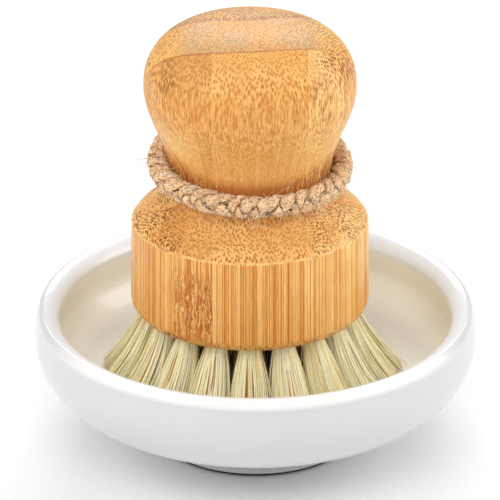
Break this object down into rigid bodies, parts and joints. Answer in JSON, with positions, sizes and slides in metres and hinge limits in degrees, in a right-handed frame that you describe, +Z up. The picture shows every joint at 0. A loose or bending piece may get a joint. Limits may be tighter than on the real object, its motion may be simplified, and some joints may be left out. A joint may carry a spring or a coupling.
{
  "type": "dish brush with stand",
  "caption": "Palm-sized dish brush with a turned bamboo knob handle, plant bristles and a jute loop round its neck, standing in a round glazed dish that catches the drips.",
  "frame": {"origin": "on the table, under the middle of the dish", "axes": "+Z up through the brush; -Y toward the side that the picture shows; the rope's knot lies on the +Y side"},
  "size_m": [0.1052, 0.1052, 0.1028],
  "materials": {
    "white_glaze": "glossy white glaze",
    "bamboo": "laminated bamboo, turned, sanded and oiled",
    "plant_bristle": "stiff pale plant fibre",
    "jute": "rough plaited jute"
  },
  "bodies": {
    "dish": {"dish": "white_glaze"},
    "brush": {"handle": "bamboo", "tuft_centre": "plant_bristle", "tuft_inner_01": "plant_bristle", "tuft_inner_02": "plant_bristle", "tuft_inner_03": "plant_bristle", "tuft_inner_04": "plant_bristle", "tuft_inner_05": "plant_bristle", "tuft_inner_06": "plant_bristle", "tuft_middle_01": "plant_bristle", "tuft_middle_02": "plant_bristle", "tuft_middle_03": "plant_bristle", "tuft_middle_04": "plant_bristle", "tuft_middle_05": "plant_bristle", "tuft_middle_06": "plant_bristle", "tuft_middle_07": "plant_bristle", "tuft_middle_08": "plant_bristle", "tuft_middle_09": "plant_bristle", "tuft_middle_10": "plant_bristle", "tuft_middle_11": "plant_bristle", "tuft_middle_12": "plant_bristle", "tuft_outer_01": "plant_bristle", "tuft_outer_02": "plant_bristle", "tuft_outer_03": "plant_bristle", "tuft_outer_04": "plant_bristle", "tuft_outer_05": "plant_bristle", "tuft_outer_06": "plant_bristle", "tuft_outer_07": "plant_bristle", "tuft_outer_08": "plant_bristle", "tuft_outer_09": "plant_bristle", "tuft_outer_10": "plant_bristle", "tuft_outer_11": "plant_bristle", "tuft_outer_12": "plant_bristle", "tuft_outer_13": "plant_bristle", "tuft_outer_14": "plant_bristle", "tuft_outer_15": "plant_bristle", "tuft_outer_16": "plant_bristle", "tuft_outer_17": "plant_bristle", "tuft_outer_18": "plant_bristle"},
    "rope": {"rope_loop": "jute", "rope_knot": "jute"}
  },
  "joints": [
    {"name": "brush_lift", "type": "slide", "parent": "dish", "child": "brush", "axis": [0, 0, 1], "range_m": [0, 0.1]},
    {"name": "rope_turn", "type": "hinge", "parent": "brush", "child": "rope", "pos_m": [-0.0013, 0, 0.0683], "axis": [0, 0, 1], "continuous": true}
  ]
}
